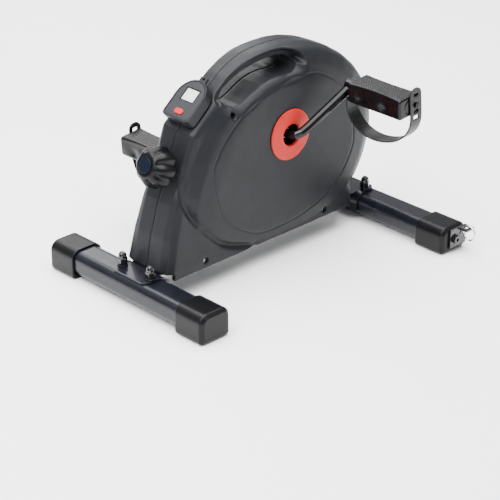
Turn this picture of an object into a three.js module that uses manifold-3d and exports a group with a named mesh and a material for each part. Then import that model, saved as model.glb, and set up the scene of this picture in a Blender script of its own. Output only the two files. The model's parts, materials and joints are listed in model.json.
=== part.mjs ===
// Under-desk pedal exerciser: magnetic flywheel drive in a two-shell housing on two stabilizers.
// Millimetres. +X runs from the user's side to the far side, +Y is left, +Z is up.
// The origin is on the floor, midway between the two stabilizers and on the seam of the housing.
import * as THREE from 'three';
import { mergeVertices } from 'three/addons/utils/BufferGeometryUtils.js';
import Module from 'manifold-3d';

const wasm = await Module();
wasm.setup();

// ---- driving dimensions ----
const GAP = 0.3;                       // clearance between touching pieces
const RAIL_X = 228.5;                  // stabilizer centre line, either side of the origin
const RAILS = [
  { name: 'user', x: -RAIL_X, half: 170, top: 44, capTop: 47 },
  { name: 'far', x: RAIL_X, half: 220, top: 41, capTop: 44 },
];
const RAIL_WIDTH = 50;
const RAIL_BOTTOM = 4.5;
const RAIL_RADIUS = 14;
const RAIL_WALL = 2;
const CAP_WIDTH = 57;
const CAP_LENGTH = 56;
const CAP_POCKET = 40;
const CAP_ROUND = 5;
const BOLT_Y = 31;                     // carriage bolts, either side of the seam
const BOLT_R = 4;
const SADDLE_T = 3;
const SADDLE_HALF = 40;

const CRANK = { x: 34.8, z: 202.6 };   // crank axis
const CRANK_LENGTH = 114;
const CRANK_LIFT = 31.9;               // angle of the right crank above the floor, degrees
const CRANK_BAR_R = 7.5;
const AXLE_R = 8;
const BOSS_R = 11;
const BOSS_IN = 79;                    // boss and pedal places, measured from the seam
const BOSS_OUT = 92;
const PEDAL_IN = 97.5;
const PEDAL_OUT = 201;
const PEDAL_WIDTH = 44;
const PEDAL_HEIGHT = 32;
const PEDAL_PITCH = 5;                 // degrees
const SPINDLE_R = 6;
const STRAP_WIDTH = 24;
const STRAP_T = 2.4;
const STRAP_DROP = 70;                 // axle to the bottom of the hanging strap

const WALL = 2.8;                      // housing wall
const SEAM_GAP = 0.3;
const RIM_HALF = 20;                   // half width of the rim band
const DISC_HALF = 52;                  // half width over the two disc faces
const DOME_SIZE = 45;                  // rim to disc face, measured upright
const DOME_STRETCH = 62 / 45;          // the same distance is longer along X
const NOSE_HALF = 27;
const SIDE_HALF = 36;                  // the sides spread from here down to the base
const BASE_HALF = 48.5;
const SPREAD_Z = [60, 190];
const FOOT_Z = 37;
const COVER_R = 40.3;
const COVER_HOLE_R = 17;

const FLYWHEEL = { x: -70, z: 142, r: 64, half: 9 };
const DRIVE_R = 78;
const SMALL_R = 12;
const PULLEY_Y = 18;
const PULLEY_T = 10;
const BELT_T = 2.2;
const BELT_GAP = 1.1;                  // keeps the faceted belt clear of the faceted pulleys
const BEAM_HALF = 16;
const BEAM_Z = [43, 73];
const CARRIAGE_PIVOT = { x: -128, z: 84 };
const MAGNET_AIR = 3.5;                // magnets to the rim of the flywheel
const MAGNET_T = 5;

const KNOB_SEAT = { x: -168, z: 194 }; // where the knob's axis meets the housing
const KNOB_TILT = -67.4;               // degrees about Y, from +Z to the knob's axis
const KNOB_R = 32;
const METER_SEAT = { x: -138.6, z: 253.7 };
const METER_TILT = -39.9;
const METER_HALF = 28.5;
const METER_LENGTH = 68;
const METER_TOP = 17;

const RING_R = 11.5;
const RING_WIRE_R = 1.5;
const RING_X = RAIL_X + 14;

// ---- colours ----
const FINISH = {
  housing: [0x46474a, 0.55, 0.1],
  tube: [0x1d1f26, 0.4, 0.5],
  cap: [0x131315, 0.6, 0],
  black: [0x0e0e10, 0.3, 0.6],
  steel: [0x8c8f94, 0.35, 0.9],
  chrome: [0xc9c6c0, 0.15, 1],
  iron: [0x3a3b3e, 0.5, 0.9],
  red: [0xe8452b, 0.45, 0],
  rubber: [0x18181a, 0.8, 0],
  face: [0x515256, 0.5, 0.1],
  glass: [0xe6e8e4, 0.2, 0],
  navy: [0x16233a, 0.4, 0.2],
  magnet: [0x55555a, 0.6, 0.6],
};

const group = new THREE.Group();

function add(name, geometry, finish, parent = group) {
  const [color, roughness, metalness] = FINISH[finish];
  const mesh = new THREE.Mesh(geometry, new THREE.MeshStandardMaterial({ color, roughness, metalness }));
  mesh.name = name;
  parent.add(mesh);
  return mesh;
}

// ---- joining and cutting ----
function solid(geometry) {
  let g = geometry.clone();
  g.deleteAttribute('normal');
  g.deleteAttribute('uv');
  g = mergeVertices(g, 1e-4);
  return new wasm.Manifold(new wasm.Mesh({
    numProp: 3,
    vertProperties: new Float32Array(g.attributes.position.array),
    triVerts: new Uint32Array(g.index.array),
  }));
}

function geometryOf(body) {
  const mesh = body.getMesh();
  const g = new THREE.BufferGeometry();
  g.setAttribute('position', new THREE.BufferAttribute(new Float32Array(mesh.vertProperties), 3));
  g.setIndex(new THREE.BufferAttribute(new Uint32Array(mesh.triVerts), 1));
  return g;
}

function join(first, ...others) {
  return geometryOf(others.reduce((body, g) => body.add(solid(g)), solid(first)));
}

function cut(first, ...others) {
  return geometryOf(others.reduce((body, g) => body.subtract(solid(g)), solid(first)));
}

function common(a, b) {
  return geometryOf(solid(a).intersect(solid(b)));
}

// ---- plain shapes ----
function box(x0, x1, y0, y1, z0, z1) {
  const g = new THREE.BoxGeometry(x1 - x0, y1 - y0, z1 - z0);
  return g.translate((x0 + x1) / 2, (y0 + y1) / 2, (z0 + z1) / 2);
}

function rodY(x, z, r, y0, y1, sides = 12) {
  return new THREE.CylinderGeometry(r, r, y1 - y0, sides).translate(x, (y0 + y1) / 2, z);
}

function rodZ(x, y, r, z0, z1, sides = 12) {
  const g = new THREE.CylinderGeometry(r, r, z1 - z0, sides).rotateX(Math.PI / 2);
  return g.translate(x, y, (z0 + z1) / 2);
}

function roundedRect(x0, x1, z0, z1, r, low = r) {
  const s = new THREE.Shape();
  s.moveTo(x0 + low, z0);
  s.lineTo(x1 - low, z0);
  s.absarc(x1 - low, z0 + low, low, -Math.PI / 2, 0);
  s.absarc(x1 - r, z1 - r, r, 0, Math.PI / 2);
  s.absarc(x0 + r, z1 - r, r, Math.PI / 2, Math.PI);
  s.absarc(x0 + low, z0 + low, low, Math.PI, 1.5 * Math.PI);
  return s;
}

// A smooth closed outline through a few points.
function smoothLoop(points, count, scaleX = 1) {
  const spots = points.map(([x, z]) => new THREE.Vector3(x * scaleX, z, 0));
  const curve = new THREE.CatmullRomCurve3(spots, true, 'centripetal');
  return new THREE.Shape(curve.getPoints(count).slice(0, -1).map((p) => new THREE.Vector2(p.x, p.y)));
}

function polygon(points) {
  return new THREE.Shape(points.map(([x, z]) => new THREE.Vector2(x, z)));
}

// An outline in X and Z, extruded along Y from y0 to y1.
function alongY(shape, y0, y1, options = {}) {
  const g = new THREE.ExtrudeGeometry(shape, { depth: y1 - y0, bevelEnabled: false, curveSegments: 4, ...options });
  return g.rotateX(Math.PI / 2).translate(0, y1, 0);
}

function mirrorY(geometry) {
  const g = geometry.clone().scale(1, -1, 1);
  if (!g.index) g.setIndex([...Array(g.attributes.position.count).keys()]);
  const flipped = Array.from(g.index.array);
  for (let i = 0; i < flipped.length; i += 3) {
    [flipped[i + 1], flipped[i + 2]] = [flipped[i + 2], flipped[i + 1]];
  }
  g.setIndex(flipped);
  return g;
}

const radians = THREE.MathUtils.degToRad;

// A child group whose local +Z leans back from upright by tilt degrees.
function tilted(seat, tilt) {
  const g = new THREE.Group();
  g.position.set(seat.x, 0, seat.z);
  g.rotation.y = radians(tilt);
  group.add(g);
  return g;
}

function placed(geometry, seat, tilt) {
  return geometry.clone().rotateY(radians(tilt)).translate(seat.x, 0, seat.z);
}

// ---- stabilizers ----
function railShape(rail, grow) {
  const half = RAIL_WIDTH / 2 + grow;
  return roundedRect(rail.x - half, rail.x + half, RAIL_BOTTOM - grow, rail.top + grow, RAIL_RADIUS + grow);
}

function railTube(rail) {
  const length = rail.half - 10;
  const tube = cut(alongY(railShape(rail, 0), -length, length), alongY(railShape(rail, -RAIL_WALL), -300, 300));
  const holes = [-BOLT_Y, BOLT_Y].map((y) => rodZ(rail.x, y, BOLT_R + GAP, 0, 60, 8));
  return cut(tube, ...holes);
}

function endCap(rail) {
  const half = CAP_WIDTH / 2 - CAP_ROUND;
  const shape = roundedRect(rail.x - half, rail.x + half, CAP_ROUND, rail.capTop - CAP_ROUND, 10, 2);
  const bevel = { bevelEnabled: true, bevelSize: CAP_ROUND, bevelThickness: CAP_ROUND, bevelSegments: 1 };
  const block = alongY(shape, rail.half - CAP_LENGTH, rail.half - CAP_ROUND, { curveSegments: 3, ...bevel });
  const inner = rail.half - CAP_LENGTH;
  const trim = box(rail.x - 40, rail.x + 40, inner - 20, inner, -10, 60);
  const pocket = alongY(railShape(rail, GAP), inner - 10, rail.half - 10 + GAP);
  const bracketHole = rodY(rail.x - 1, 22, 4 + GAP, rail.half - 9, rail.half + 5, 12);
  return rail.x > 0 ? cut(block, trim, pocket, bracketHole) : cut(block, trim, pocket);
}

function carriageBolt(rail, y) {
  const top = rail.top + 17;
  const head = rodZ(rail.x, y, 8, 0.8, RAIL_BOTTOM - GAP, 10);
  return join(head, rodZ(rail.x, y, BOLT_R, 2, top, 8));
}

function washer(rail, y) {
  const z = rail.top + GAP + SADDLE_T + GAP;
  return cut(rodZ(rail.x, y, 8.5, z, z + 1.6), rodZ(rail.x, y, BOLT_R + GAP, z - 5, z + 5, 8));
}

function acornNut(rail, y) {
  const z = rail.top + SADDLE_T + 1.6 + 3 * GAP;
  const hex = rodZ(rail.x, y, 7.8, z, z + 10, 6);
  const dome = new THREE.SphereGeometry(6.4, 10, 6).translate(rail.x, y, z + 13.5);
  const neck = rodZ(rail.x, y, 6.4, z + 2, z + 13.5, 10);
  return cut(join(hex, neck, dome), rodZ(rail.x, y, BOLT_R + GAP, z - 2, rail.top + 17 + GAP, 8));
}

for (const rail of RAILS) {
  add(`${rail.name}_stabilizer_tube`, railTube(rail), 'tube');
  const cap = endCap(rail);
  add(`${rail.name}_end_cap_left`, cap, 'cap');
  add(`${rail.name}_end_cap_right`, mirrorY(cap), 'cap');
  for (const [side, y] of [['left', BOLT_Y], ['right', -BOLT_Y]]) {
    add(`${rail.name}_carriage_bolt_${side}`, carriageBolt(rail, y), 'steel');
    add(`${rail.name}_washer_${side}`, washer(rail, y), 'black');
    add(`${rail.name}_acorn_nut_${side}`, acornNut(rail, y), 'black');
  }
}

// ---- welded frame ----
// A saddle plate lies on the tube and bends down over the side that faces the housing.
function saddle(rail) {
  const inward = -Math.sign(rail.x);
  const low = rail.top + GAP;
  const bend = { x: RAIL_WIDTH / 2 - RAIL_RADIUS, z: rail.top - RAIL_RADIUS };
  const r = RAIL_RADIUS + GAP;
  const s = new THREE.Shape();
  s.moveTo(-18, low);
  s.lineTo(bend.x, low);
  s.absarc(bend.x, bend.z, r, Math.PI / 2, 0, true);
  s.lineTo(bend.x + r, 16);
  s.lineTo(bend.x + r + SADDLE_T, 16);
  s.absarc(bend.x, bend.z, r + SADDLE_T, 0, Math.PI / 2);
  s.lineTo(-18, low + SADDLE_T);
  const plate = alongY(s, -SADDLE_HALF, SADDLE_HALF);
  const clips = [-1, 1].map((side) => {
    const corner = box(-7, 7, -7, 7, 0, 80).rotateZ(Math.PI / 4);
    return corner.translate(-18, side * SADDLE_HALF, 0);
  });
  const holes = [-BOLT_Y, BOLT_Y].map((y) => rodZ(0, y, BOLT_R + GAP, 30, 60, 8));
  const turned = cut(plate, ...clips, ...holes);
  if (inward < 0) turned.rotateZ(Math.PI);
  return turned.translate(rail.x, 0, 0);
}

function mainFrame() {
  const beam = box(-196, 203, -BEAM_HALF, BEAM_HALF, BEAM_Z[0], BEAM_Z[1]);
  const reach = RAIL_X - 9.5;
  const userTongue = box(-reach, -150, -30, 30, RAILS[0].top + GAP, RAILS[0].top + GAP + SADDLE_T);
  const farTongue = box(150, reach, -30, 30, RAILS[1].top + GAP, RAILS[1].top + GAP + SADDLE_T);
  const post = box(16, 54, -14, 14, 60, 196);
  const shell = rodY(CRANK.x, CRANK.z, 20, -26, 15, 20);
  const forks = [-1, 1].map((side) => {
    const y = [side * 12, side * 15].sort((a, b) => a - b);
    return box(FLYWHEEL.x - 13, 25, y[0], y[1], FLYWHEEL.z - 13, FLYWHEEL.z + 13);
  });
  const lugs = [-1, 1].map((side) => {
    const y = [side * 12.5, side * 15.5].sort((a, b) => a - b);
    return box(CARRIAGE_PIVOT.x - 9, CARRIAGE_PIVOT.x + 9, y[0], y[1], 65, CARRIAGE_PIVOT.z + 8);
  });
  const pin = rodY(CARRIAGE_PIVOT.x, CARRIAGE_PIVOT.z, 4, -14, 14, 12);
  const body = join(beam, saddle(RAILS[0]), saddle(RAILS[1]), userTongue, farTongue, post, shell,
    ...forks, ...lugs, pin);
  const bore = rodY(CRANK.x, CRANK.z, 16, -40, 40, 20);
  const axleHole = rodY(FLYWHEEL.x, FLYWHEEL.z, 5 + GAP, -30, 30, 12);
  const screwHoles = FOOT_SCREWS.map(([x, z]) => rodY(x, z, 2.3, -30, -4, 10));
  return cut(body, bore, axleHole, ...screwHoles);
}

const FOOT_SCREWS = [[-134.7, 49], [117.9, 49]];
const TOP_SCREW = [-76, 262];
add('main_frame', mainFrame(), 'tube');

// ---- drive inside the housing ----
add('flywheel', cut(
  rodY(FLYWHEEL.x, FLYWHEEL.z, FLYWHEEL.r, -FLYWHEEL.half, FLYWHEEL.half, 28),
  rodY(FLYWHEEL.x, FLYWHEEL.z, 5 + GAP, -20, 20, 12),
), 'iron');
add('flywheel_axle', rodY(FLYWHEEL.x, FLYWHEEL.z, 5, -22, 32, 12), 'steel');

function pulley(x, z, r, bore, sides) {
  const half = PULLEY_T / 2;
  const profile = [[bore, -half], [r + 2, -half], [r + 2, -half + 1], [r, -half + 1.5], [r, half - 1.5],
    [r + 2, half - 1], [r + 2, half], [bore, half], [bore, -half]];
  const g = new THREE.LatheGeometry(profile.map(([a, b]) => new THREE.Vector2(a, b)), sides);
  return g.translate(x, PULLEY_Y + half, z);
}

add('flywheel_pulley', pulley(FLYWHEEL.x, FLYWHEEL.z, SMALL_R, 5 + GAP, 16), 'steel');
add('drive_pulley', pulley(CRANK.x, CRANK.z, DRIVE_R, AXLE_R + GAP, 28), 'cap');

// The belt follows both pulleys and the two straight runs between them.
function beltLoop(grow) {
  const dx = FLYWHEEL.x - CRANK.x;
  const dz = FLYWHEEL.z - CRANK.z;
  const heading = Math.atan2(dz, dx);
  const lean = Math.acos((DRIVE_R - SMALL_R) / Math.hypot(dx, dz));
  const s = new THREE.Shape();
  s.absarc(CRANK.x, CRANK.z, DRIVE_R + grow, heading + lean, heading - lean + 2 * Math.PI);
  s.absarc(FLYWHEEL.x, FLYWHEEL.z, SMALL_R + grow, heading - lean, heading + lean);
  return s;
}

const beltY = [PULLEY_Y + 2.2, PULLEY_Y + PULLEY_T - 2.2];
add('drive_belt', cut(
  alongY(beltLoop(BELT_GAP + BELT_T), ...beltY, { curveSegments: 14 }),
  alongY(beltLoop(BELT_GAP), beltY[0] - 5, beltY[1] + 5, { curveSegments: 14 }),
), 'rubber');

add('crank_axle', rodY(CRANK.x, CRANK.z, AXLE_R, -44, 44, 16), 'steel');
for (const [side, y] of [['left', 6.5], ['right', -25]]) {
  const ring = rodY(CRANK.x, CRANK.z, 16 - GAP, y, y + 8, 20);
  add(`crank_bearing_${side}`, cut(ring, rodY(CRANK.x, CRANK.z, AXLE_R + GAP, y - 5, y + 15, 16)), 'steel');
}

// The magnet carriage is an arc that faces the rim of the flywheel and swings about its lower end.
function arc(r0, r1, from, to, half) {
  const s = new THREE.Shape();
  s.absarc(FLYWHEEL.x, FLYWHEEL.z, r1, radians(from), radians(to));
  s.absarc(FLYWHEEL.x, FLYWHEEL.z, r0, radians(to), radians(from), true);
  return alongY(s, -half, half, { curveSegments: 10 });
}

function magnetCarriage() {
  const ear = rodY(CARRIAGE_PIVOT.x, CARRIAGE_PIVOT.z, 8, -11, 11, 16);
  const inner = FLYWHEEL.r + MAGNET_AIR + MAGNET_T + GAP;
  const body = join(arc(inner, inner + 4, 150, 224, 11), ear);
  return cut(body, rodY(CARRIAGE_PIVOT.x, CARRIAGE_PIVOT.z, 4 + GAP, -20, 20, 12));
}

add('magnet_carriage', magnetCarriage(), 'steel');
add('magnet_strip', arc(FLYWHEEL.r + MAGNET_AIR, FLYWHEEL.r + MAGNET_AIR + MAGNET_T, 152, 200, 9), 'magnet');
add('speed_sensor', box(-14, 2, 39, 48, 196, 208), 'cap');

// ---- cranks, pedals and straps ----
const SIDES = [
  { name: 'right', y: -1, x: 1 },
  { name: 'left', y: 1, x: -1 },
];

function pedalCentre(side) {
  const a = radians(CRANK_LIFT);
  return {
    x: CRANK.x + side.x * CRANK_LENGTH * Math.cos(a),
    z: CRANK.z + side.x * CRANK_LENGTH * Math.sin(a),
  };
}

function crankArm(side) {
  const end = pedalCentre(side);
  const y = (v) => side.y * v;
  const start = new THREE.Vector3(CRANK.x, y(44 + GAP), CRANK.z);
  const corner = new THREE.Vector3(CRANK.x, y(68), CRANK.z);
  const tip = new THREE.Vector3(end.x, y((BOSS_IN + BOSS_OUT) / 2), end.z);
  const run = tip.clone().sub(corner);
  const bendIn = new THREE.Vector3(CRANK.x, y(52), CRANK.z);
  const bendOut = corner.clone().addScaledVector(run, 0.16);
  const path = new THREE.CurvePath();
  path.add(new THREE.LineCurve3(start, bendIn));
  path.add(new THREE.QuadraticBezierCurve3(bendIn, corner, bendOut));
  path.add(new THREE.LineCurve3(bendOut, tip));
  const section = new THREE.Shape();
  section.absarc(0, 0, CRANK_BAR_R, 0, 2 * Math.PI);
  const bar = new THREE.ExtrudeGeometry(section, { steps: 14, curveSegments: 5, extrudePath: path });
  const [y0, y1] = [y(BOSS_IN), y(BOSS_OUT)].sort((a, b) => a - b);
  return cut(join(bar, rodY(end.x, end.z, BOSS_R, y0, y1, 16)), rodY(end.x, end.z, SPINDLE_R + GAP, y0 - 9, y1 + 9));
}

function pedalSpindle(side) {
  const end = pedalCentre(side);
  const [y0, y1] = [side.y * BOSS_IN, side.y * (PEDAL_OUT - 12)].sort((a, b) => a - b);
  const [c0, c1] = [side.y * (BOSS_OUT + GAP), side.y * (BOSS_OUT + 1.3)].sort((a, b) => a - b);
  return join(rodY(end.x, end.z, SPINDLE_R, y0, y1), rodY(end.x, end.z, 9, c0, c1));
}

// Pedal pieces are made about their own axle and then pitched and moved into place.
function onPedal(geometry, side) {
  const end = pedalCentre(side);
  const g = side.y < 0 ? mirrorY(geometry) : geometry.clone();
  return g.rotateY(radians(-PEDAL_PITCH)).translate(end.x, 0, end.z);
}

function pedalBody() {
  const shape = roundedRect(-PEDAL_WIDTH / 2, PEDAL_WIDTH / 2, -PEDAL_HEIGHT / 2, PEDAL_HEIGHT / 2, 5);
  const block = alongY(shape, PEDAL_IN, PEDAL_OUT, { curveSegments: 3 });
  const bore = rodY(0, 0, SPINDLE_R + 0.5, PEDAL_IN - 5, PEDAL_OUT - 8, 16);
  const scallops = [];
  for (const x of [-1, 1]) {
    for (const y of [PEDAL_IN + 28, PEDAL_OUT - 28]) {
      scallops.push(rodZ(x * (PEDAL_WIDTH / 2 + 32), y, 36, -10, 10, 32));
    }
  }
  const pegHole = rodY(PEG_X, 0, 2.5 + GAP, PEDAL_OUT - 8, PEDAL_OUT + 5, 12);
  const button = rodY(-PEG_X, BUTTON_Z, 2.2, STRAP_IN_Y - 2, PEDAL_IN + 2, 10);
  return join(cut(block, bore, ...scallops, pegHole), button);
}

// The strap hangs in a loop under the pedal: its inner end is held beside the crank,
// its outer end stands up as a slotted tab on a peg.
const PEG_X = 11;
const TAB_Y = PEDAL_OUT + 3;
const STRAP_IN_Y = PEDAL_IN - 2;
const BUTTON_Z = -12;

function strapCurve(offset) {
  const path = new THREE.Path();
  const y0 = STRAP_IN_Y - 0.9 + offset;
  const y1 = TAB_Y - offset;
  const low = -STRAP_DROP + offset;
  path.moveTo(y0, -7);
  path.lineTo(y0, -20);
  path.bezierCurveTo(y0, -48, y0 + 24, low, (y0 + y1) / 2 - 3, low);
  path.bezierCurveTo(y1 - 26, low, y1, -50, y1, -18);
  path.lineTo(y1, 27);
  return path.getPoints(12);
}

function strap() {
  const outer = strapCurve(0);
  const inner = strapCurve(STRAP_T).reverse();
  const g = new THREE.ExtrudeGeometry(new THREE.Shape([...outer, ...inner]), {
    depth: STRAP_WIDTH, bevelEnabled: false, steps: 1,
  });
  // The outline is in Y and Z, and the width runs along X.
  g.applyMatrix4(new THREE.Matrix4().set(0, 0, 1, -STRAP_WIDTH / 2, 1, 0, 0, 0, 0, 1, 0, 0, 0, 0, 0, 1));
  const middle = (PEDAL_IN + PEDAL_OUT) / 2;
  const slope = 2 * PEG_X / (PEDAL_OUT - PEDAL_IN);
  g.applyMatrix4(new THREE.Matrix4().set(1, slope, 0, -slope * middle, 0, 1, 0, 0, 0, 0, 1, 0, 0, 0, 0, 1));
  const slots = [16, 0, -10, -20].map((z) => box(PEG_X - 5, PEG_X + 5, TAB_Y - 8, TAB_Y + 8, z - 3, z + 3));
  const buttonHole = rodY(-PEG_X, BUTTON_Z, 2.5, STRAP_IN_Y - 8, STRAP_IN_Y + 8, 10);
  return cut(g, ...slots, buttonHole);
}

function strapPeg() {
  const pin = rodY(PEG_X, 0, 2.5, PEDAL_OUT - 7, PEDAL_OUT + 5, 12);
  return join(pin, rodY(PEG_X, 0, 4, PEDAL_OUT + 3.9, PEDAL_OUT + 6, 12));
}

for (const side of SIDES) {
  add(`crank_arm_${side.name}`, crankArm(side), 'black');
  add(`pedal_spindle_${side.name}`, pedalSpindle(side), 'steel');
  add(`pedal_body_${side.name}`, onPedal(pedalBody(), side), 'rubber');
  add(`pedal_strap_${side.name}`, onPedal(strap(), side), 'rubber');
  add(`strap_peg_${side.name}`, onPedal(strapPeg(), side), 'cap');
}

// ---- housing ----
const RIM = [
  [239, 165], [234, 200], [217, 243], [187, 278], [141, 309], [92, 328], [53, 334], [16, 335], [-21, 331],
  [-58, 316], [-91, 291], [-121, 262], [-144, 228], [-161, 193], [-178, 150], [-176, 104], [-148, 62],
  [-100, 38], [-45, 24], [20, 17], [85, 19], [140, 31], [180, 52], [212, 85], [230, 122],
];
const NOSE = [
  [-219, 20], [-209, 56], [-199, 98], [-183, 148], [-160, 204], [-144.5, 247], [-88, 294], [-40, 250],
  [100, 150], [160, 104], [187, 70], [187, 20], [0, 20],
];
const HANDLE_SLOT = [
  [-83, 288], [-66, 303], [-29, 317], [12, 322], [42, 320], [62, 309], [58, 298], [40, 294], [14, 296],
  [-18, 290], [-44, 277], [-64, 271], [-80, 276],
];

// The round body: a rim band with a quarter-round dome up to each flat disc face.
function dome(inset) {
  const shape = smoothLoop(RIM, 38, 1 / DOME_STRETCH);
  const g = alongY(shape, -RIM_HALF, RIM_HALF, {
    bevelEnabled: true,
    bevelThickness: DISC_HALF - RIM_HALF - inset,
    bevelSize: DOME_SIZE,
    bevelOffset: -DOME_SIZE - inset,
    bevelSegments: 3,
  });
  return g.scale(DOME_STRETCH, 1, 1);
}

// The nose and foot: flat in front, chamfered to sides that spread towards the floor.
function nose(inset) {
  const g = alongY(polygon(NOSE), -NOSE_HALF, NOSE_HALF, {
    bevelEnabled: true,
    bevelThickness: SIDE_HALF - NOSE_HALF - inset,
    bevelSize: 12,
    bevelOffset: -12 - inset,
    bevelSegments: 2,
  });
  const p = g.attributes.position;
  const spread = (BASE_HALF - NOSE_HALF) / (SIDE_HALF - NOSE_HALF) - 1;
  for (let i = 0; i < p.count; i += 1) {
    const low = THREE.MathUtils.clamp((SPREAD_Z[1] - p.getZ(i)) / (SPREAD_Z[1] - SPREAD_Z[0]), 0, 1);
    const y = p.getY(i);
    const beyond = Math.max(Math.abs(y) - NOSE_HALF, 0);
    p.setY(i, y + Math.sign(y) * beyond * spread * low);
  }
  return g;
}

function meterShape(grow) {
  const half = METER_HALF + grow;
  const r = 7;
  const s = new THREE.Shape();
  s.moveTo(-grow, -half + r);
  s.absarc(r - grow, -half + r, r, Math.PI, 1.5 * Math.PI);
  s.lineTo(38, -half);
  s.absellipse(38, 0, METER_LENGTH - 38 + grow, half, -Math.PI / 2, Math.PI / 2);
  s.lineTo(r - grow, half);
  s.absarc(r - grow, half - r, r, Math.PI / 2, Math.PI);
  return s;
}

function meterPlate(grow, z0, z1) {
  const g = new THREE.ExtrudeGeometry(meterShape(grow), { depth: z1 - z0, bevelEnabled: false, curveSegments: 8 });
  return g.translate(0, 0, z0);
}

function screwTower([x, z], y0, y1) {
  return rodY(x, z, 7.5, y0, y1, 16);
}

function housing() {
  const outer = join(dome(0), nose(0));
  const inner = join(dome(WALL), nose(WALL));
  const slot = smoothLoop(HANDLE_SLOT, 22);
  const slotWall = alongY(slot, -60, 60, {
    bevelEnabled: true, bevelThickness: 0.01, bevelSize: WALL, bevelSegments: 1,
  });
  const towers = join(
    screwTower(TOP_SCREW, -60, 60),
    ...FOOT_SCREWS.map((spot) => screwTower(spot, -60, -BEAM_HALF - 0.6)),
  );
  const body = join(cut(outer, inner), common(join(slotWall, towers), outer));
  return cut(
    body,
    alongY(slot, -70, 70),
    box(-300, 300, -80, 80, -20, FOOT_Z),
    box(-300, -197.5, -80, 80, -20, 48.2),
    box(-300, -100, -41, 41, -20, 48.2),
    box(100, 300, -41, 41, -20, 45.2),
    box(100, 300, -BEAM_HALF - 0.6, BEAM_HALF + 0.6, -20, BEAM_Z[1] + 0.6),
    rodY(CRANK.x, CRANK.z, COVER_HOLE_R + 1, -70, 70, 24),
    rodY(...TOP_SCREW, 4.8, -70, -13, 14),
    rodY(...TOP_SCREW, 2.3, -20, 16, 10),
    ...FOOT_SCREWS.flatMap(([x, z]) => [rodY(x, z, 4.8, -70, -24, 14), rodY(x, z, 2.3, -30, -10, 10)]),
    placed(meterPlate(1, 0.7, 40), METER_SEAT, METER_TILT),
    placed(rodZ(0, 0, 8, -40, 20, 16), KNOB_SEAT, KNOB_TILT),
  );
}

const shells = housing();
add('right_housing', common(shells, box(-300, 300, -90, -SEAM_GAP / 2, 0, 400)), 'housing');
add('left_housing', common(shells, box(-300, 300, SEAM_GAP / 2, 90, 0, 400)), 'housing');

function screw([x, z], y0, headY) {
  return join(rodY(x, z, 2, headY - 1, y0, 10), rodY(x, z, 4.2, headY - 3.5, headY, 14));
}

add('housing_screw_top', screw(TOP_SCREW, 14, -13 - GAP), 'black');
add('housing_screw_user', screw(FOOT_SCREWS[0], -6, -24 - GAP), 'black');
add('housing_screw_far', screw(FOOT_SCREWS[1], -6, -24 - GAP), 'black');

// Dished trim ring round each crank hole.
function hubCover(y) {
  const profile = [[COVER_HOLE_R, 0.4], [COVER_R, 0.4], [COVER_R, 2.2], [COVER_R - 2, 3.4], [COVER_HOLE_R + 2, 4.6],
    [COVER_HOLE_R, 3.6], [COVER_HOLE_R, 0.4]];
  const g = new THREE.LatheGeometry(profile.map(([a, b]) => new THREE.Vector2(a, b)), 28);
  g.translate(CRANK.x, DISC_HALF, CRANK.z);
  return y < 0 ? mirrorY(g) : g;
}

for (const side of SIDES) {
  add(`hub_cover_${side.name}`, hubCover(side.y), 'red');
}

// ---- tension knob ----
const LOBE_STEPS = 32;

function lobedShape(r, depth) {
  const points = [];
  for (let i = 0; i < LOBE_STEPS; i += 1) {
    const a = i / LOBE_STEPS * 2 * Math.PI;
    const radius = r - depth * (0.5 - 0.5 * Math.cos(8 * a));
    points.push(new THREE.Vector2(radius * Math.cos(a), radius * Math.sin(a)));
  }
  return new THREE.Shape(points);
}

function tensionKnob() {
  const lobes = new THREE.ExtrudeGeometry(lobedShape(KNOB_R, 3.5), { depth: 34, bevelEnabled: false });
  const profile = [[0, 8], [KNOB_R + 1, 8], [KNOB_R + 1, 22], [27, 33], [19, 42], [0, 42]];
  const turned = new THREE.LatheGeometry(profile.map(([a, b]) => new THREE.Vector2(a, b)), 16);
  const body = common(lobes.translate(0, 0, 8), turned.rotateX(Math.PI / 2));
  return cut(body, rodZ(0, 0, 12 + GAP, 39.6, 60, 20), rodZ(0, 0, 5 + GAP, -10, 28, 12));
}

const knob = tilted(KNOB_SEAT, KNOB_TILT);
add('tension_knob', tensionKnob(), 'cap', knob);
add('knob_cap', rodZ(0, 0, 12, 39.6 + GAP, 42.6, 20), 'navy', knob);
add('tension_spindle', join(rodZ(0, 0, 5, -20, 28 - GAP, 12), rodZ(0, 0, 10, 3, 7, 16)), 'steel', knob);

// ---- meter ----
const LCD = [30, 53, -14, 14];
const BUTTON = { x: 12.5, half: 8.5, r: 4.3 };

function pill(grow, z0, z1) {
  const r = BUTTON.r + grow;
  const s = new THREE.Shape();
  s.absarc(BUTTON.x, BUTTON.half - BUTTON.r, r, 0, Math.PI);
  s.absarc(BUTTON.x, -BUTTON.half + BUTTON.r, r, Math.PI, 2 * Math.PI);
  return new THREE.ExtrudeGeometry(s, { depth: z1 - z0, bevelEnabled: false, curveSegments: 6 }).translate(0, 0, z0);
}

function meterCase() {
  const latch = join(box(62, 76, -7, 7, 9, 13));
  const body = join(meterPlate(0, 1, METER_TOP), latch);
  const hole = rodZ(72.5, 0, 2, 0, 20, 10);
  return cut(body, meterPlate(-3, METER_TOP - 3.2, 30), hole);
}

const meter = tilted(METER_SEAT, METER_TILT);
add('meter_case', meterCase(), 'housing', meter);
add('meter_face', cut(
  meterPlate(-3 - GAP, METER_TOP - 2.9, METER_TOP - 0.4),
  box(LCD[0], LCD[1], LCD[2], LCD[3], 0, 30),
  pill(GAP, 0, 30),
), 'face', meter);
add('lcd_window', box(LCD[0] + GAP, LCD[1] - GAP, LCD[2] + GAP, LCD[3] - GAP, METER_TOP - 2.9, METER_TOP - 1.2),
  'glass', meter);
add('mode_button', pill(0, METER_TOP - 1.8, METER_TOP + 1), 'red', meter);

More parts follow.
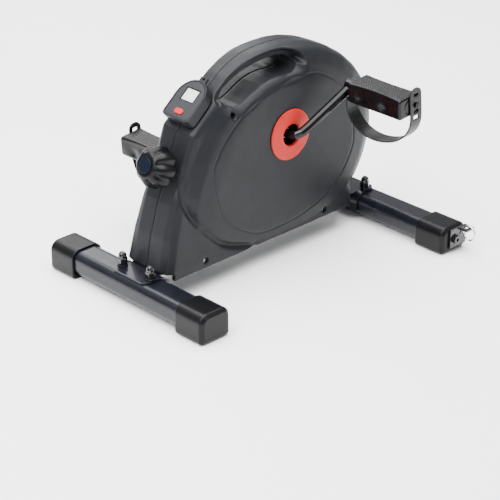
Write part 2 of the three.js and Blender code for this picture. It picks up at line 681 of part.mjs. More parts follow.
// ---- band rings on the far stabilizer ----
const FACE_Y = RAILS[1].half;
const LUG_Z = [37, 40];
const LUG_END = FACE_Y + 20;
const STRIP_Y = LUG_END - 2.25;

function ringBracket() {
  const leg = box(RAIL_X - 13, RAIL_X + 23, FACE_Y + GAP, FACE_Y + GAP + 3, 9, LUG_Z[1]);
  const lug = box(RING_X - 9, RING_X + 9, FACE_Y + GAP, LUG_END, ...LUG_Z);
  const hole = rodZ(RING_X, LUG_END - 9.5, 5, 30, 50, 16);
  return cut(join(leg, lug), hole, rodY(RAIL_X - 1, 22, 4 + GAP, FACE_Y - 10, FACE_Y + 10, 12));
}

function bracketBolt() {
  const head = rodY(RAIL_X - 1, 22, 7, FACE_Y + 3 + 2 * GAP, FACE_Y + 8, 16);
  const socket = rodY(RAIL_X - 1, 22, 3, FACE_Y + 5, FACE_Y + 12, 6);
  return cut(join(head, rodY(RAIL_X - 1, 22, 4, FACE_Y - 8, FACE_Y + 5, 12)), socket);
}

function bandRing() {
  const g = new THREE.TorusGeometry(RING_R, RING_WIRE_R, 6, 18).rotateY(Math.PI / 2);
  return g.translate(RING_X, STRIP_Y, (LUG_Z[0] + LUG_Z[1]) / 2 - 6.8);
}

for (const side of SIDES) {
  const put = (g) => (side.y < 0 ? mirrorY(g) : g);
  add(`ring_bracket_${side.name}`, put(ringBracket()), 'cap');
  add(`bracket_bolt_${side.name}`, put(bracketBolt()), 'steel');
  add(`band_ring_${side.name}`, put(bandRing()), 'chrome');
}

export default group;
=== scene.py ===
import json
import math

import bmesh
import bpy
import numpy as np
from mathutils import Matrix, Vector


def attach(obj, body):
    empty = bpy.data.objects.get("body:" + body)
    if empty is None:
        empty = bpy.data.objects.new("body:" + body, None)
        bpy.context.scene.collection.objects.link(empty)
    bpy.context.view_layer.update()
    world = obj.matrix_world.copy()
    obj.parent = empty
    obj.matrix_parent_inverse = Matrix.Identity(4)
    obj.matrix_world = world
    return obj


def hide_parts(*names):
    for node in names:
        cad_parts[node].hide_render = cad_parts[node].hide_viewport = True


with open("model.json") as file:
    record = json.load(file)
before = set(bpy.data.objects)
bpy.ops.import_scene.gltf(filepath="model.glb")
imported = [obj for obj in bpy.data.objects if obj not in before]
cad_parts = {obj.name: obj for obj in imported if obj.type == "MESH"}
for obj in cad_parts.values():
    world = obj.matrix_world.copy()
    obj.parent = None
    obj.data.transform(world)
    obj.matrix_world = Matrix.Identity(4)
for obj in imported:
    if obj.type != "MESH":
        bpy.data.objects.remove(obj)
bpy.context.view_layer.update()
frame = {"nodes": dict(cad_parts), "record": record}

MM = 0.001
SIDES = {"right": -1.0, "left": 1.0}  # the sign of Y on each side
ENDS = ("user", "far")


# ---------------------------------------------------------------- camera

def add_camera():
    data = bpy.data.cameras.new("camera")
    data.lens = 130.63
    data.sensor_width = 36.0
    data.clip_start = 0.05
    data.clip_end = 60.0
    cam = bpy.data.objects.new("camera", data)
    cam.location = (-1.744857, -1.801853, 1.271998)
    aim = Vector((0.621056, 0.640527, -0.451680))
    cam.rotation_mode = "QUATERNION"
    cam.rotation_quaternion = aim.to_track_quat("-Z", "Y")
    bpy.context.scene.collection.objects.link(cam)
    bpy.context.scene.camera = cam


add_camera()


# ---------------------------------------------------------------- mesh helpers

def add_object(name, mesh):
    obj = bpy.data.objects.new(name, mesh)
    bpy.context.scene.collection.objects.link(obj)
    return obj


def bake(obj):
    """Applies all the modifiers of an object to its mesh."""
    graph = bpy.context.evaluated_depsgraph_get()
    graph.update()
    mesh = bpy.data.meshes.new_from_object(obj.evaluated_get(graph))
    obj.modifiers.clear()
    obj.data = mesh
    return obj


def cad_mesh(node):
    """A copy of a frame node's mesh with its doubled points merged."""
    mesh = frame["nodes"][node].data.copy()
    mesh.materials.clear()
    work = bmesh.new()
    work.from_mesh(mesh)
    bmesh.ops.remove_doubles(work, verts=work.verts, dist=2e-6)
    bmesh.ops.dissolve_degenerate(work, edges=work.edges, dist=1e-6)
    work.to_mesh(mesh)
    work.free()
    return mesh


def shade(obj, angle=None):
    """Shades an object smooth, apart from edges sharper than angle."""
    mesh = obj.data
    mesh.polygons.foreach_set("use_smooth", [True] * len(mesh.polygons))
    if angle is not None:
        mesh.set_sharp_from_angle(angle=math.radians(angle))
    mesh.update()
    return obj


def smooth(obj, rounds, group=""):
    modifier = obj.modifiers.new("smooth", "SMOOTH")
    modifier.factor = 0.5
    modifier.iterations = rounds
    modifier.vertex_group = group


def points_mm(obj):
    """An object's points as an array, in millimetres."""
    co = np.empty(len(obj.data.vertices) * 3, np.float32)
    obj.data.vertices.foreach_get("co", co)
    return co.reshape(-1, 3).astype(float) / MM


def weigh(obj, share, name):
    """A vertex group that holds each point's share, in tenths."""
    group = obj.vertex_groups.new(name=name)
    for level in range(1, 11):
        chosen = np.nonzero(np.round(share * 10) == level)[0]
        if len(chosen):
            group.add(chosen.tolist(), level / 10, "REPLACE")


def moulded(node, voxel, passes, keep=1.0, shape=None, after=2, calm=None):
    """A fine closed skin over a frame piece with every edge rounded, as moulding or forging leaves it.

    voxel is the grid of the skin in mm and passes how often it is smoothed. calm gives the share of extra smoothing
    at each point and its rounds, shape moves the points, after smooths what was moved, and keep thins the skin.
    """
    obj = add_object(node + "_skin", cad_mesh(node))
    remesh = obj.modifiers.new("remesh", "REMESH")
    remesh.mode = "VOXEL"
    remesh.voxel_size = voxel * 1.0 * MM
    remesh.adaptivity = 0.0
    smooth(obj, passes)
    bake(obj)
    if calm is not None:
        share, rounds = calm
        weigh(obj, share(points_mm(obj)), "calm")
        smooth(obj, rounds, "calm")
        bake(obj)
    if shape is not None:
        moved = shape(points_mm(obj)) * MM
        obj.data.vertices.foreach_set("co", moved.astype(np.float32).ravel())
        obj.data.update()
        smooth(obj, after)
    if keep < 1.0:
        thin = obj.modifiers.new("thin", "DECIMATE")
        thin.ratio = keep
    bake(obj)
    return shade(obj)


def solid_mesh(name, verts, faces):
    """A closed mesh from points and faces, with doubled points merged and its faces pointing out."""
    mesh = bpy.data.meshes.new(name)
    mesh.from_pydata([tuple(v) for v in verts], [], faces)
    work = bmesh.new()
    work.from_mesh(mesh)
    bmesh.ops.remove_doubles(work, verts=work.verts, dist=1e-6)
    bmesh.ops.recalc_face_normals(work, faces=work.faces)
    work.to_mesh(mesh)
    work.free()
    return mesh


def eased(node, width, segments=3, angle=28):
    """A frame piece with its edges sharper than angle eased by a small round, width mm across."""
    obj = add_object(node + "_skin", cad_mesh(node))
    work = bmesh.new()
    work.from_mesh(obj.data)
    bmesh.ops.dissolve_limit(
        work, angle_limit=math.radians(1.0), verts=work.verts, edges=work.edges
    )
    work.to_mesh(obj.data)
    work.free()
    if width:
        bevel = obj.modifiers.new("bevel", "BEVEL")
        bevel.width = width * MM
        bevel.segments = segments
        bevel.limit_method = "ANGLE"
        bevel.angle_limit = math.radians(angle)
        bevel.use_clamp_overlap = True
        bake(obj)
    shade(obj, 34)
    even = obj.modifiers.new("even", "WEIGHTED_NORMAL")
    even.weight = 90
    even.keep_sharp = True
    return bake(obj)


def polygon_gap(x, z, outline, closed=True):
    """Distance in the XZ plane from points to an outline."""
    pts = np.array(outline, float)
    ends = np.roll(pts, -1, axis=0)
    if not closed:
        pts, ends = pts[:-1], ends[:-1]
    best = np.full(x.shape, 1e9)
    for (ax, az), (bx, bz) in zip(pts, ends):
        dx, dz = bx - ax, bz - az
        t = np.clip(((x - ax) * dx + (z - az) * dz) / (dx * dx + dz * dz), 0, 1)
        best = np.minimum(best, np.hypot(x - ax - t * dx, z - az - t * dz))
    return best


def rounded(outline, closed=True, steps=6):
    """A smooth curve through the points of an outline (Catmull-Rom)."""
    pts = np.array(outline, float)
    n = len(pts)
    out = []
    for i in range(n if closed else n - 1):
        if closed:
            a, b, c, d = (pts[(i + k) % n] for k in (-1, 0, 1, 2))
        else:
            a, b, c, d = (pts[min(max(i + k, 0), n - 1)] for k in (-1, 0, 1, 2))
        for s in range(steps):
            t = s / steps
            out.append(
                0.5 * (2 * b + (c - a) * t + (2 * a - 5 * b + 4 * c - d) * t * t
                       + (3 * b - a - 3 * c + d) * t ** 3)
            )
    if not closed:
        out.append(pts[-1])
    return np.array(out)


def inside(x, z, outline):
    """True for each point that lies within an outline in the XZ plane."""
    pts = np.array(outline, float)
    hit = np.zeros(x.shape, bool)
    j = len(pts) - 1
    for i in range(len(pts)):
        (xi, zi), (xj, zj) = pts[i], pts[j]
        if zi != zj:
            crosses = ((zi > z) != (zj > z)) & (x < (xj - xi) * (z - zi) / (zj - zi) + xi)
            hit ^= crosses
        j = i
    return hit


def ease(t):
    """A smooth step from 0 to 1."""
    return t * t * (3 - 2 * t)


def bell(distance, width):
    """1 at no distance, fading to nothing beyond about twice the width."""
    return np.exp(-(distance / width) ** 2)


def tube_faces(rows, count, closed=False):
    """The faces that join rings of points, each ring of count points."""
    return [
        (i * count + k, i * count + (k + 1) % count,
         (i + 1) % rows * count + (k + 1) % count, (i + 1) % rows * count + k)
        for i in range(rows if closed else rows - 1) for k in range(count)
    ]


# ---------------------------------------------------------------- materials

class Graph:
    """A material's node graph, built one node at a time."""

    def __init__(self, name):
        self.material = bpy.data.materials.new(name)
        self.material.use_nodes = True
        self.tree = self.material.node_tree
        self.shader = self.tree.nodes["Principled BSDF"]
        self.place = self.add("ShaderNodeTexCoord").outputs["Object"]

    def add(self, kind, links=()):
        node = self.tree.nodes.new(kind)
        for source, socket in links:
            self.tree.links.new(source, node.inputs[socket])
        return node

    def noise(self, scale, detail=3.0, rough=0.55, place=None):
        node = self.add("ShaderNodeTexNoise", [(place or self.place, "Vector")])
        node.inputs["Scale"].default_value = scale
        node.inputs["Detail"].default_value = detail
        node.inputs["Roughness"].default_value = rough
        return node.outputs["Fac"]

    def stretch(self, factor):
        node = self.add("ShaderNodeMapping", [(self.place, "Vector")])
        node.inputs["Scale"].default_value = factor
        return node.outputs["Vector"]

    def ramp(self, source, stops):
        node = self.add("ShaderNodeValToRGB", [(source, "Fac")])
        ends = node.color_ramp.elements
        for element, (at, color) in zip(ends, stops):
            element.position = at
            element.color = (*color, 1.0)
        return node.outputs["Color"]

    def span(self, source, low, high):
        """A noise's usual range, 0.3 to 0.7, turned into low to high."""
        node = self.add("ShaderNodeMapRange", [(source, "Value")])
        node.inputs["From Min"].default_value = 0.3
        node.inputs["From Max"].default_value = 0.7
        node.inputs["To Min"].default_value = low
        node.inputs["To Max"].default_value = high
        return node.outputs["Result"]

    def bump(self, source, strength, depth, under=None):
        """Fine relief, depth mm high, on top of the relief under it."""
        node = self.add("ShaderNodeBump", [(source, "Height")])
        node.inputs["Strength"].default_value = strength
        node.inputs["Distance"].default_value = depth * MM
        if under is not None:
            self.tree.links.new(under, node.inputs["Normal"])
        return node.outputs["Normal"]

    def set(self, socket, value):
        target = self.shader.inputs[socket]
        if isinstance(value, (int, float, tuple)):
            target.default_value = value
        else:
            self.tree.links.new(value, target)


def mottle(g, color, spread, scale, detail):
    """A colour that drifts a little lighter and darker over the surface."""
    low = tuple(max(c * (1 - spread), 0.0) for c in color)
    high = tuple(min(c * (1 + spread), 1.0) for c in color)
    g.set("Base Color", g.ramp(g.noise(scale, detail), [(0.35, low), (0.65, high)]))


def plastic(name, color, rough, spread, grain, grain_size, gloss=0.0, shine=0.5):
    """Moulded plastic with a fine texture: grain is its strength and grain_size its size in mm."""
    g = Graph(name)
    mottle(g, color, spread, 26.0, 4.0)
    g.set("Roughness", g.span(g.noise(60.0, 5.0), rough * 0.9, min(rough * 1.12, 1.0)))
    g.set("Specular IOR Level", shine)
    if gloss:
        g.set("Coat Weight", gloss)
        g.set("Coat Roughness", 0.08)
    wave = g.bump(g.noise(14.0, 1.0), 0.05, 0.2)
    fine = g.noise(1000.0 / grain_size, 2.0, 0.6)
    g.set("Normal", g.bump(fine, grain, 0.06, wave))
    return g.material


def metal(name, color, rough, brushed, marks=0.12):
    """Bare or plated metal with fine marks that run across the axis on which brushed is largest."""
    g = Graph(name)
    mottle(g, color, 0.07, 40.0, 4.0)
    g.set("Metallic", 1.0)
    lines = g.noise(220.0, 4.0, 0.6, g.stretch(brushed))
    g.set("Roughness", g.span(lines, rough * 0.75, rough * 1.35))
    g.set("Normal", g.bump(lines, marks, 0.05))
    return g.material


def paint(name, color, rough, coat):
    """Powder coat or enamel with a faint orange peel."""
    g = Graph(name)
    mottle(g, color, 0.1, 30.0, 3.0)
    g.set("Roughness", g.span(g.noise(90.0, 4.0), rough * 0.85, rough * 1.2))
    g.set("Coat Weight", coat)
    g.set("Coat Roughness", 0.12)
    g.set("Specular IOR Level", 0.18)
    g.set("Normal", g.bump(g.noise(700.0, 2.0, 0.5), 0.1, 0.012))
    return g.material


def glass_panel(name):
    """The blank display behind its clear window."""
    g = Graph(name)
    greys = [(0.3, (0.58, 0.60, 0.57)), (0.7, (0.66, 0.68, 0.65))]
    g.set("Base Color", g.ramp(g.noise(70.0, 3.0), greys))
    g.set("Roughness", g.span(g.noise(300.0, 3.0), 0.16, 0.24))
    g.set("Coat Weight", 0.8)
    g.set("Coat Roughness", 0.04)
    g.set("Normal", g.bump(g.noise(900.0, 2.0), 0.05, 0.03))
    return g.material


def rubber(name, color, rough):
    g = Graph(name)
    mottle(g, color, 0.15, 50.0, 5.0)
    g.set("Roughness", g.span(g.noise(160.0, 4.0), rough * 0.85, min(rough * 1.15, 1.0)))
    g.set("Specular IOR Level", 0.3)
    g.set("Normal", g.bump(g.noise(1500.0, 3.0, 0.6), 0.25, 0.08))
    return g.material


FINISH = {
    name: make(name, *values) for name, make, *values in (
        ("housing_plastic", plastic, (0.0085, 0.0092, 0.0112), 0.42, 0.08, 0.4, 1.1, 0.0, 0.17),
        ("frame_paint", paint, (0.004, 0.0045, 0.008), 0.3, 0.2),
        ("cap_plastic", plastic, (0.0028, 0.0028, 0.0034), 0.32, 0.1, 0.3, 1.0, 0.0, 0.16),
        ("zinc_steel", metal, (0.62, 0.63, 0.65), 0.24, (1.0, 1.0, 5.0)),
        ("black_hardware", paint, (0.006, 0.006, 0.007), 0.16, 0.6),
        ("crank_gloss", paint, (0.002, 0.002, 0.0026), 0.16, 0.15),
        ("bright_steel", metal, (0.55, 0.56, 0.58), 0.3, (1.0, 6.0, 1.0)),
        ("ring_chrome", metal, (0.78, 0.79, 0.81), 0.1, (1.0, 1.0, 1.0), 0.04),
        ("flywheel_iron", metal, (0.30, 0.30, 0.31), 0.42, (1.0, 8.0, 1.0), 0.25),
        ("magnet_ferrite", plastic, (0.05, 0.05, 0.055), 0.6, 0.15, 0.3, 0.8),
        ("belt_rubber", rubber, (0.018, 0.018, 0.018), 0.7),
        ("cover_red", plastic, (0.42, 0.009, 0.004), 0.42, 0.05, 0.12, 0.9, 0.0, 0.25),
        ("button_red", plastic, (0.42, 0.008, 0.007), 0.3, 0.06, 0.08, 0.8, 0.1, 0.3),
        ("pedal_plastic", plastic, (0.002, 0.002, 0.0025), 0.27, 0.1, 0.12, 1.0, 0.0, 0.22),
        ("strap_rubber", rubber, (0.003, 0.003, 0.0035), 0.4),
        ("meter_panel", plastic, (0.014, 0.015, 0.018), 0.4, 0.05, 0.3, 0.7, 0.0, 0.25),
        ("lcd_glass", glass_panel),
        ("cap_navy", plastic, (0.003, 0.005, 0.012), 0.24, 0.08, 0.06, 0.8, 0.1, 0.2),
    )
}

NODE_BODY = {
    node: body
    for body, nodes in frame["record"]["behaviour"]["bodies"].items()
    for node in nodes
}
NODE_SLOT = {part["node"]: part["material_slot"] for part in frame["record"]["subparts"]}


def dress(obj, finish, body):
    """Gives a piece its material and ties it to its body."""
    obj.data.materials.clear()
    obj.data.materials.append(FINISH[finish])
    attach(obj, body)


def finish_piece(obj, node):
    """Dresses a piece and lets it stand for its frame node."""
    dress(obj, NODE_SLOT[node], NODE_BODY[node])
    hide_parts(node)


# ---------------------------------------------------------------- housings (outlines in mm, X and Z)

DISC_EDGE = rounded([
    (138, 257), (104, 280), (78, 287), (39, 288), (-14.5, 278.5), (-55.4, 261),
    (-86, 236.6), (-106.6, 211), (-118.5, 182), (-109.7, 127), (-91.3, 99.3),
    (-64.6, 77.8), (-31.9, 60.4), (1.9, 56.3), (54, 59.4), (106.4, 73.7),
    (142.2, 95.2), (169.9, 133), (176, 160.8), (164, 218),
])
FOOT_CREASE = rounded([
    (-171, 184), (-168, 147), (-151, 117), (-125, 87), (-91, 60), (-33, 39),
], closed=False)
HANDLE_EDGE = rounded([
    (-83, 288), (-66, 303), (-29, 317), (12, 322), (42, 320), (62, 309), (58, 298),
    (40, 294), (14, 296), (-18, 290), (-44, 277), (-64, 271), (-80, 276),
])
SLOT_MIDDLE_X = (-83, -40, 0, 40, 62)
SLOT_MIDDLE_Z = (280, 298, 307, 309, 306)
RIM_EDGE = 20.5
SHELL_HOLES = ((34.8, 202.6, 24.0), (-76.0, 262.0, 8.0), (117.9, 49.0, 8.0))  # X, Z and radius to keep clear


def housing_form(co):
    """Moulded detail of a housing shell, as depths that its points are pushed in towards the middle plane.

    line is the fine line round the flat disc, dent the crease between the bulge and the foot, mouth the rounded lower
    lip of the hand hole, cutback its upper side, brought back to the edge of the rim, and seam closes the joint.
    """
    x, y, z = co[:, 0], co[:, 1], co[:, 2]
    side = np.where(y < 0, -1.0, 1.0)
    depth = np.abs(y)
    disc = polygon_gap(x, z, DISC_EDGE)
    line = 1.3 * bell(disc, 1.5) * (depth > 44)
    foot = polygon_gap(x, z, FOOT_CREASE, closed=False)
    dent = 4.5 * bell(foot, 5.0) * (depth > 28) * (depth < 51)
    slot_gap = polygon_gap(x, z, HANDLE_EDGE)
    outer = ~inside(x, z, HANDLE_EDGE)
    above_middle = z - np.interp(x, SLOT_MIDDLE_X, SLOT_MIDDLE_Z)
    reach = np.where(outer, np.clip(1.0 - slot_gap / 15.0, 0, 1) ** 1.8, 1.0)
    mouth = 10.0 * (above_middle < 0) * reach * np.clip((depth - 18.0) / 18.0, 0, 1)
    level = RIM_EDGE + (np.maximum(depth, RIM_EDGE) - RIM_EDGE) * 0.14
    near = ease(np.where(outer, np.clip(1.6 - slot_gap / 9.0, 0, 1), 1.0))
    rise = np.clip((above_middle + 5.0) / 10.0, 0, 1)
    cutback = np.maximum(depth - level, 0.0) * near * rise
    seam = 0.5 * np.clip((3.0 - depth) / 2.0, 0, 1)
    co[:, 1] -= side * (np.maximum(mouth, cutback) + line + dent + seam)
    return co


def housing_calm(co):
    """Where the shell is one flowing surface: away from the seam, holes, nose edges and foot."""
    x, y, z = co[:, 0], co[:, 1], co[:, 2]
    free = np.clip((np.abs(y) - 4.0) / 4.0, 0, 1)
    free *= np.clip((z - 58.0) / 14.0, 0, 1)
    free *= np.maximum(np.clip((x + 135.0) / 20.0, 0, 1), np.clip((z - 262.0) / 14.0, 0, 1))
    gap = polygon_gap(x, z, HANDLE_EDGE)
    free *= np.clip((gap - 4.0) / 8.0, 0, 1)
    for cx, cz, r in SHELL_HOLES:
        free *= np.clip((np.hypot(x - cx, z - cz) - r) / 6.0, 0, 1)
    return free


for side in SIDES:
    tag = side + "_housing"
    shell = moulded(tag, 1.15, 7, keep=0.32, shape=housing_form, calm=(housing_calm, 170))
    finish_piece(shell, tag)


# ---------------------------------------------------------------- stabilizers

for end in ENDS:
    tag = end + "_stabilizer_tube"
    finish_piece(eased(tag, 0.0), tag)
    for side in SIDES:
        tag = end + "_end_cap_" + side
        finish_piece(moulded(tag, 0.9, 6), tag)
        tag = end + "_carriage_bolt_" + side
        finish_piece(eased(tag, 0.5, 3), tag)
        tag = end + "_washer_" + side
        finish_piece(eased(tag, 0.35, 2), tag)
        tag = end + "_acorn_nut_" + side
        finish_piece(moulded(tag, 0.35, 4), tag)

finish_piece(eased("main_frame", 0.8, 3, 35), "main_frame")


# ---------------------------------------------------------------- drive, out of sight inside the housing

HIDDEN = (
    "flywheel", "flywheel_axle", "flywheel_pulley", "drive_pulley", "drive_belt", "crank_axle",
    "crank_bearing_left", "crank_bearing_right", "magnet_carriage", "magnet_strip", "speed_sensor",
    "tension_spindle", "housing_screw_top", "housing_screw_user", "housing_screw_far",
)
for node in HIDDEN:
    finish_piece(eased(node, 0.5, 2, 35), node)


# ---------------------------------------------------------------- cranks and pedals

PEDALS = {"right": (131.58, 262.84), "left": (-61.98, 142.36)}  # X and Z of each pedal's axle
PITCH = math.radians(5.0)
PEDAL_IN, PEDAL_OUT = 97.5, 201.0
PEDAL_MIDDLE, PEDAL_HALF_LENGTH = 149.2, 51.7
PEDAL_HALF_WIDTH, PEDAL_HALF_HEIGHT = 22.0, 16.0
PEDAL_CORNER, PEDAL_END_ROUND = 4.5, 3.2
BORE_R, BORE_MOUTH_R, BORE_END = 6.5, 7.3, 193.0
HOLLOWS = (124.0, 172.0)  # where along the pedal the finger hollows of its flanks are
TREAD = (102.0, 196.5)
TREAD_PITCH = 3.6
RING_POINTS = 280
PEDAL_STEPS = 250
END_RINGS = 40
BUTTON_PLACE = (-11.0, -12.0)
BUTTON_PROFILE = [(0.0, 98.0), (2.2, 98.0), (2.2, 93.9), (1.9, 93.5), (1.2, 93.2), (0.0, 93.1)]
BUTTON_POINTS = 40
TAB_MIDDLE, TAB_ROUND_FROM, TAB_ROUND = 11.0, 15.0, 12.2


# A pedal's own axes: u across it, w out along its axle from the middle plane, v up through its tread.

def to_pedal(co, side):
    cx, cz = PEDALS[side]
    c, s = math.cos(PITCH), math.sin(PITCH)
    dx, dz = co[:, 0] - cx, co[:, 2] - cz
    return dx * c + dz * s, np.abs(co[:, 1]), -dx * s + dz * c


def from_pedal(u, w, v, side):
    cx, cz = PEDALS[side]
    c, s = math.cos(PITCH), math.sin(PITCH)
    return cx + u * c - v * s, SIDES[side] * w, cz + u * s + v * c


def rounded_rectangle(a, b, r, count):
    """Points spaced evenly round a rectangle of half-sizes a and b with corners of radius r."""
    flat_u, flat_v = 2 * (a - r), 2 * (b - r)
    arc = math.pi * r / 2
    total = 2 * (flat_u + flat_v) + 4 * arc
    out = []
    for k in range(count):
        d = total * k / count
        for corner in range(4):
            flat = flat_v if corner % 2 == 0 else flat_u
            if d < flat + arc:
                break
            d -= flat + arc
        turn = max(d - flat, 0.0) / r
        d = min(d, flat)
        u, v = (
            (a - r, -(b - r) + d), (a - r - d, b - r), (-(a - r), b - r - d), (-(a - r) + d, -(b - r))
        )[corner]
        angle = corner * math.pi / 2 + turn
        out.append((u + r * math.cos(angle), v + r * math.sin(angle)))
    return out


def pedal_section(w):
    """One cross-section of the pedal: waisted at the top, hollowed low on each flank, knurled above and below."""
    a, b = PEDAL_HALF_WIDTH, PEDAL_HALF_HEIGHT
    along = (w - PEDAL_MIDDLE) / PEDAL_HALF_LENGTH
    end = max(0.0, PEDAL_END_ROUND - min(w - PEDAL_IN, PEDAL_OUT - w))
    inset = PEDAL_END_ROUND - math.sqrt(max(PEDAL_END_ROUND ** 2 - end ** 2, 0.0))
    hollow_here = sum(math.exp(-((w - at) / 11.0) ** 2) for at in HOLLOWS)
    out = []
    for u, v in rounded_rectangle(a, b, PEDAL_CORNER, RING_POINTS):
        share = ease(min(max((v + 6.0) / 16.0, 0.0), 1.0))
        waist = 4.0 * (1 - along ** 2) * share
        hollow = hollow_here * 3.4 * math.exp(-((v + 4.0) / 7.0) ** 2)
        u -= math.copysign((abs(u) / a) ** 4 * (waist + hollow), u)
        on_tread = abs(v) > b - 0.2 and abs(u) < a - waist - 3.2
        if on_tread and TREAD[0] < w < TREAD[1]:
            knurl = math.sin(math.pi * (u + w) / TREAD_PITCH) * math.sin(math.pi * (u - w) / TREAD_PITCH)
            v += math.copysign(0.55 * abs(knurl) - 0.45, v)
        out.append((u * (1 - inset / a), v * (1 - inset / b)))
    return out


def pedal_mesh(side):
    """The pedal, ring by ring: down its bore and back, over the inner face, along its flanks, over the outer face."""
    start = pedal_section(PEDAL_IN)
    angles = [math.atan2(v, u) for u, v in start]
    rows = [[(0.0, 0.0, BORE_END)] * RING_POINTS]
    for w in (BORE_END, 160.0, 120.0, 98.5, PEDAL_IN):
        r = BORE_MOUTH_R if w == PEDAL_IN else BORE_R
        rows.append([(r * math.cos(t), r * math.sin(t), w) for t in angles])
    for share in (0.35, 0.7):
        rows.append([
            (u * share + 4 * math.cos(t), v * share + 4 * math.sin(t), PEDAL_IN)
            for (u, v), t in zip(start, angles)
        ])
    for i in range(PEDAL_STEPS + 1):
        w = PEDAL_IN + (PEDAL_OUT - PEDAL_IN) * i / PEDAL_STEPS
        rows.append([(u, v, w) for u, v in pedal_section(w)])
    last = rows[-1]
    for share in np.linspace(0.97, 0.03, END_RINGS):
        ring = []
        for u, v, _ in last:
            u, v = u * share, v * share
            groove = 0.9 * math.exp(-((math.hypot(u, v) - 10.5) / 0.9) ** 2)
            ring.append((u, v, PEDAL_OUT - groove))
        rows.append(ring)
    verts = [np.array(from_pedal(u, w, v, side)) * MM for row in rows for u, v, w in row]
    faces = tube_faces(len(rows), RING_POINTS)
    tip = (len(rows) - 1) * RING_POINTS
    faces.append(tuple(tip + k for k in range(RING_POINTS)))
    return solid_mesh("pedal_body_" + side + "_skin", verts, faces)


def strap_button(side):
    """The moulded button that holds the inner end of the strap."""
    verts = []
    for r, w in BUTTON_PROFILE:
        for k in range(BUTTON_POINTS):
            angle = 2 * math.pi * k / BUTTON_POINTS
            u = BUTTON_PLACE[0] + r * math.cos(angle)
            v = BUTTON_PLACE[1] + r * math.sin(angle)
            verts.append(np.array(from_pedal(u, w, v, side)) * MM)
    return solid_mesh("strap_button_" + side, verts, tube_faces(len(BUTTON_PROFILE), BUTTON_POINTS))


def strap_form(side):
    """Rounds the top of the strap's outer tab."""
    def form(co):
        u, w, v = to_pedal(co, side)
        tab = (w > PEDAL_OUT - 2.0) & (v > TAB_ROUND_FROM)
        reach = np.clip((v - TAB_ROUND_FROM) / TAB_ROUND, 0, 1)
        taper = np.sqrt(np.clip(1.0 - reach ** 2.2, 0.02, 1.0))
        u = np.where(tab, TAB_MIDDLE + (u - TAB_MIDDLE) * taper, u)
        return np.stack(from_pedal(u, w, v, side), axis=1)
    return form


for side in SIDES:
    tag = "crank_arm_" + side
    finish_piece(moulded(tag, 0.6, 8), tag)
    tag = "pedal_spindle_" + side
    finish_piece(eased(tag, 0.4, 2), tag)
    tag = "pedal_body_" + side
    finish_piece(shade(add_object(tag + "_skin", pedal_mesh(side)), 60), tag)
    button = shade(add_object("strap_button_" + side, strap_button(side)), 60)
    dress(button, "pedal_plastic", side + "_pedal")
    tag = "pedal_strap_" + side
    finish_piece(moulded(tag, 0.6, 5, shape=strap_form(side), after=1), tag)
    tag = "strap_peg_" + side
    finish_piece(moulded(tag, 0.3, 4), tag)
    tag = "hub_cover_" + side
    finish_piece(moulded(tag, 0.5, 6), tag)


# ---------------------------------------------------------------- knob and meter

KNOB_SEAT = np.array([-168.0, 0.0, 194.0])
KNOB_AXIS = np.array([-0.9233, 0.0, 0.3841])
KNOB_UP = np.array([0.3841, 0.0, 0.9233])
KNOB_PROFILE = rounded([
    (9.0, 8.0), (26.5, 8.0), (30.2, 8.8), (31.7, 11.0), (31.9, 16.0), (31.4, 22.0), (29.8, 28.0),
    (26.6, 33.5), (21.8, 38.6), (17.6, 41.2), (14.4, 41.7), (12.9, 41.2), (12.6, 39.6), (9.0, 39.3),
], closed=False, steps=5)  # radius and height above the seat, from the bore's foot round to its top
KNOB_LOBES, FLUTE_DEPTH, KNOB_POINTS = 8, 4.6, 192


def knob_mesh():
    """An eight-lobed hand knob: deep finger flutes that fade into the round collar about its cap."""
    verts = []
    for radius, height in KNOB_PROFILE:
        share = ease(min(max((radius - 17.0) / 10.0, 0.0), 1.0))
        for k in range(KNOB_POINTS):
            angle = 2 * math.pi * k / KNOB_POINTS
            wave = 0.5 - 0.5 * math.cos(KNOB_LOBES * angle)
            r = radius - FLUTE_DEPTH * share * wave ** 1.6
            place = KNOB_SEAT + KNOB_AXIS * height + KNOB_UP * math.cos(angle) * r
            place[1] += math.sin(angle) * r
            verts.append(place * MM)
    return solid_mesh("tension_knob_skin", verts, tube_faces(len(KNOB_PROFILE), KNOB_POINTS, closed=True))


METER_SEAT = np.array([-138.6, 0.0, 253.7])
METER_X = np.array([0.767, 0.0, 0.641])
METER_Z = np.array([-0.641, 0.0, 0.767])
# Outline of the thin dark frame of painted shade round the display, which stands for the recess shadow.
RECESS_SHADE = np.array([(30.4, -13.6), (52.6, -13.6), (52.6, 13.6), (30.4, 13.6)])
RECESS_SHADE_WIDTH = 1.5
RECESS_SHADE_LOW, RECESS_SHADE_HIGH = 15.9, 16.5


def recess_shade_mesh():
    """A thin dark frame round the display, in the meter's own axes: painted shade that stands for the shadow inside
    the display's recess.
    """
    centre = RECESS_SHADE.mean(axis=0)
    span = RECESS_SHADE.max(axis=0) - RECESS_SHADE.min(axis=0)
    inner = centre + (RECESS_SHADE - centre) * (1 - 2 * RECESS_SHADE_WIDTH / span)
    rings = ((RECESS_SHADE, RECESS_SHADE_LOW), (RECESS_SHADE, RECESS_SHADE_HIGH), (inner, RECESS_SHADE_HIGH), (inner, RECESS_SHADE_LOW))
    verts = [
        (METER_SEAT + METER_X * x + METER_Z * height + np.array([0.0, y, 0.0])) * MM
        for ring, height in rings for x, y in ring
    ]
    return solid_mesh("lcd_recess_shade", verts, tube_faces(len(rings), len(RECESS_SHADE), closed=True))


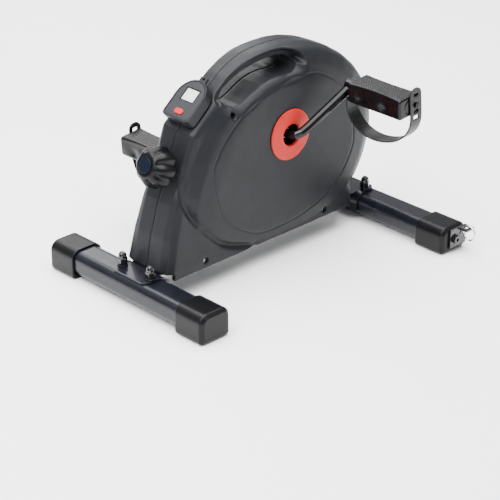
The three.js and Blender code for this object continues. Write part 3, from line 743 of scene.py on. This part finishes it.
finish_piece(shade(add_object("tension_knob_skin", knob_mesh()), 50), "tension_knob")
finish_piece(moulded("knob_cap", 0.3, 5), "knob_cap")
finish_piece(moulded("meter_case", 0.45, 4), "meter_case")
finish_piece(eased("meter_face", 0.6, 3, 30), "meter_face")
finish_piece(eased("lcd_window", 0.25, 2, 30), "lcd_window")
# A dark frame of painted shade round the display, standing for the shadow inside its recess.
dress(shade(add_object("lcd_recess_shade", recess_shade_mesh()), 40), "cap_plastic", "base")
finish_piece(moulded("mode_button", 0.3, 4), "mode_button")


# ---------------------------------------------------------------- band rings

for side in SIDES:
    tag = "ring_bracket_" + side
    finish_piece(eased(tag, 0.5, 3, 30), tag)
    tag = "bracket_bolt_" + side
    finish_piece(eased(tag, 0.4, 3, 30), tag)
    tag = "band_ring_" + side
    finish_piece(moulded(tag, 0.25, 4), tag)


# ---------------------------------------------------------------- floor and light

def add_floor():
    mesh = bpy.data.meshes.new("floor")
    half = 14.0
    corners = [(-half, -half, 0), (half, -half, 0), (half, half, 0), (-half, half, 0)]
    mesh.from_pydata(corners, [], [(0, 1, 2, 3)])
    floor = add_object("floor", mesh)
    g = Graph("floor")
    whites = [(0.3, (0.93, 0.93, 0.93)), (0.7, (0.95, 0.95, 0.95))]
    g.set("Base Color", g.ramp(g.noise(3.0, 2.0), whites))
    g.set("Roughness", 0.7)
    g.set("Specular IOR Level", 0.2)
    mesh.materials.append(g.material)


def add_area(name, place, aim, size, power):
    data = bpy.data.lights.new(name, "AREA")
    data.shape = "RECTANGLE"
    data.size, data.size_y = size
    data.energy = power
    light = bpy.data.objects.new(name, data)
    light.location = place
    light.rotation_mode = "QUATERNION"
    light.rotation_quaternion = (Vector(aim) - Vector(place)).to_track_quat("-Z", "Y")
    bpy.context.scene.collection.objects.link(light)


def add_world():
    """Soft light that is bright overhead and dim at the horizon, so that upright faces stay dark."""
    world = bpy.data.worlds.new("studio")
    world.use_nodes = True
    sky = world.node_tree.nodes["Background"]
    tree = world.node_tree
    place = tree.nodes.new("ShaderNodeTexCoord")
    split = tree.nodes.new("ShaderNodeSeparateXYZ")
    ramp = tree.nodes.new("ShaderNodeValToRGB")
    tree.links.new(place.outputs["Generated"], split.inputs["Vector"])
    tree.links.new(split.outputs["Z"], ramp.inputs["Fac"])
    tree.links.new(ramp.outputs["Color"], sky.inputs["Color"])
    low, high = ramp.color_ramp.elements
    low.position, low.color = 0.05, (0.16, 0.165, 0.175, 1.0)
    high.position, high.color = 0.6, (0.98, 0.99, 1.0, 1.0)
    sky.inputs["Strength"].default_value = 1.1
    bpy.context.scene.world = world


add_floor()
add_world()
add_area("top", (-0.1, 0.1, 2.6), (0, 0, 0), (3.6, 3.6), 360)
add_area("key", (-1.5, -0.2, 1.5), (0, 0, 0.18), (0.9, 1.2), 34)
add_area("back", (0.7, 1.6, 1.2), (0, 0, 0.2), (1.4, 0.6), 16)
